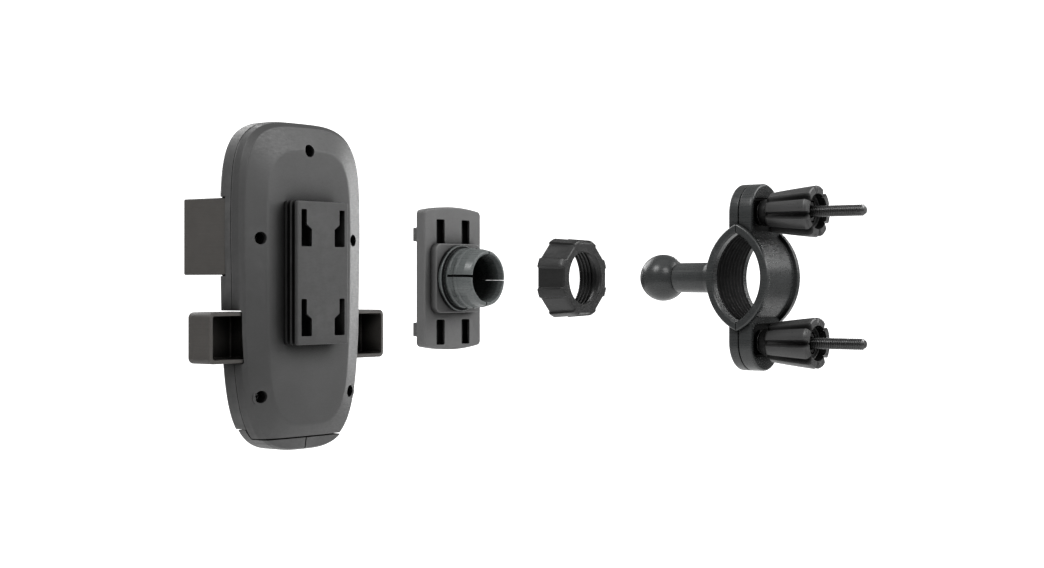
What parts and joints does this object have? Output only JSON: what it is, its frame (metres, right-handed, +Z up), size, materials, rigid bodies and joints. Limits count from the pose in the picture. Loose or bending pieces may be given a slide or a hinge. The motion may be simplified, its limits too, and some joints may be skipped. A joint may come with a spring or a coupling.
{
  "type": "phone handlebar mount",
  "caption": "Phone cradle with sliding side jaws, joined by a claw plate and ball joint to a two-half handlebar clamp, drawn apart along one axis.",
  "frame": {"origin": "centre of the handlebar bore between the two clamp halves", "axes": "+X along the handlebar, +Y away from the phone along the line the pieces are drawn apart on, +Z up"},
  "size_m": [0.105, 0.3031, 0.1408],
  "materials": {
    "cradle_plastic": "fine moulded texture, dark grey",
    "jaw_plastic": "fine moulded texture, warm dark grey",
    "plate_plastic": "satin, mid grey",
    "socket_plastic": "semi-gloss dark grey",
    "clamp_plastic": "satin, near black",
    "knob_plastic": "satin, near black",
    "rubber": "dull black rubber",
    "black_steel": "black oxide",
    "zinc_steel": "zinc plated"
  },
  "bodies": {
    "clamp": {"clamp_base": "clamp_plastic", "bar_liner_rear": "rubber", "clamp_bolt_upper": "black_steel", "clamp_bolt_lower": "black_steel"},
    "cap": {"clamp_cap": "clamp_plastic", "bar_liner_front": "rubber", "washer_upper": "zinc_steel", "washer_lower": "zinc_steel"},
    "nut_upper": {"thumb_nut_upper": "knob_plastic", "nut_insert_upper": "zinc_steel"},
    "nut_lower": {"thumb_nut_lower": "knob_plastic", "nut_insert_lower": "zinc_steel"},
    "stud": {"stud_neck": "clamp_plastic"},
    "ball": {"stud_ball": "clamp_plastic"},
    "ring": {"ring_nut": "knob_plastic"},
    "socket": {"socket_collet": "socket_plastic"},
    "plate": {"claw_plate": "plate_plastic"},
    "cradle": {"back_cover": "cradle_plastic", "front_cover": "cradle_plastic", "slot_plate": "cradle_plastic", "phone_pad": "rubber", "foot_pin_left": "zinc_steel", "foot_pin_right": "zinc_steel", "jaw_spring_left": "zinc_steel", "jaw_spring_right": "zinc_steel", "cover_screw_top": "black_steel", "cover_screw_upper_left": "black_steel", "cover_screw_upper_right": "black_steel", "cover_screw_lower_left": "black_steel", "cover_screw_lower_right": "black_steel"},
    "pinion_gear": {"pinion": "socket_plastic"},
    "jaw_left": {"side_jaw_left": "jaw_plastic", "jaw_pad_left": "rubber"},
    "jaw_right": {"side_jaw_right": "jaw_plastic", "jaw_pad_right": "rubber"},
    "arm_left": {"lower_arm_left": "jaw_plastic"},
    "arm_right": {"lower_arm_right": "jaw_plastic"},
    "foot_left": {"foot_left": "cradle_plastic"},
    "foot_right": {"foot_right": "cradle_plastic"}
  },
  "joints": [
    {"name": "clamp_cap_slide", "type": "slide", "parent": "clamp", "child": "cap", "axis": [0, 1, 0], "range_m": [0, 0.015]},
    {"name": "thumb_nut_upper_spin", "type": "hinge", "parent": "cap", "child": "nut_upper", "pos_m": [0, 0.018, 0.0228], "axis": [0, 1, 0], "range_deg": [0, 7716]},
    {"name": "thumb_nut_lower_spin", "type": "hinge", "parent": "cap", "child": "nut_lower", "pos_m": [0, 0.018, -0.0228], "axis": [0, 1, 0], "range_deg": [0, 7716]},
    {"name": "stud_roll", "type": "hinge", "parent": "clamp", "child": "stud", "pos_m": [0, -0.0148, 0], "axis": [0, 1, 0], "continuous": true},
    {"name": "ball_tilt", "type": "hinge", "parent": "stud", "child": "ball", "pos_m": [0, -0.038, 0], "axis": [1, 0, 0], "range_deg": [-25, 25]},
    {"name": "ring_nut_dock", "type": "slide", "parent": "ball", "child": "ring", "axis": [0, 1, 0], "range_m": [0, 0.0403]},
    {"name": "socket_dock", "type": "slide", "parent": "ring", "child": "socket", "axis": [0, 1, 0], "range_m": [0, 0.0452]},
    {"name": "plate_swivel", "type": "hinge", "parent": "socket", "child": "plate", "pos_m": [0, -0.139, 0], "axis": [0, 1, 0], "continuous": true},
    {"name": "cradle_dock", "type": "slide", "parent": "plate", "child": "cradle", "axis": [0, 1, 0], "range_m": [0, 0.0677]},
    {"name": "side_jaw_left_slide", "type": "slide", "parent": "cradle", "child": "jaw_left", "axis": [1, 0, 0], "range_m": [0, 0.02], "stiffness_N_per_m": 150, "springref_m": -0.02, "deforming": ["jaw_spring_left"]},
    {"name": "side_jaw_right_slide", "type": "slide", "parent": "cradle", "child": "jaw_right", "axis": [-1, 0, 0], "range_m": [0, 0.0201], "deforming": ["jaw_spring_right"]},
    {"name": "pinion_spin", "type": "hinge", "parent": "cradle", "child": "pinion_gear", "pos_m": [0, -0.2345, 0.0177], "axis": [0, 1, 0], "range_deg": [0, 192]},
    {"name": "lower_arm_left_slide", "type": "slide", "parent": "cradle", "child": "arm_left", "axis": [1, 0, 0], "range_m": [-0.014, 0.004]},
    {"name": "lower_arm_right_slide", "type": "slide", "parent": "cradle", "child": "arm_right", "axis": [-1, 0, 0], "range_m": [-0.014, 0.004]},
    {"name": "foot_left_hinge", "type": "hinge", "parent": "cradle", "child": "foot_left", "pos_m": [0.009, -0.2342, -0.0669], "axis": [-1, 0, 0], "range_deg": [0, 90]},
    {"name": "foot_right_hinge", "type": "hinge", "parent": "cradle", "child": "foot_right", "pos_m": [-0.009, -0.2342, -0.0669], "axis": [-1, 0, 0], "range_deg": [0, 90]}
  ],
  "couplings": [
    {"joint": "thumb_nut_upper_spin", "follows": "clamp_cap_slide", "rad_per_m": 8976},
    {"joint": "thumb_nut_lower_spin", "follows": "clamp_cap_slide", "rad_per_m": 8976},
    {"joint": "side_jaw_right_slide", "follows": "side_jaw_left_slide", "ratio": 1},
    {"joint": "pinion_spin", "follows": "side_jaw_left_slide", "rad_per_m": 166.67}
  ]
}
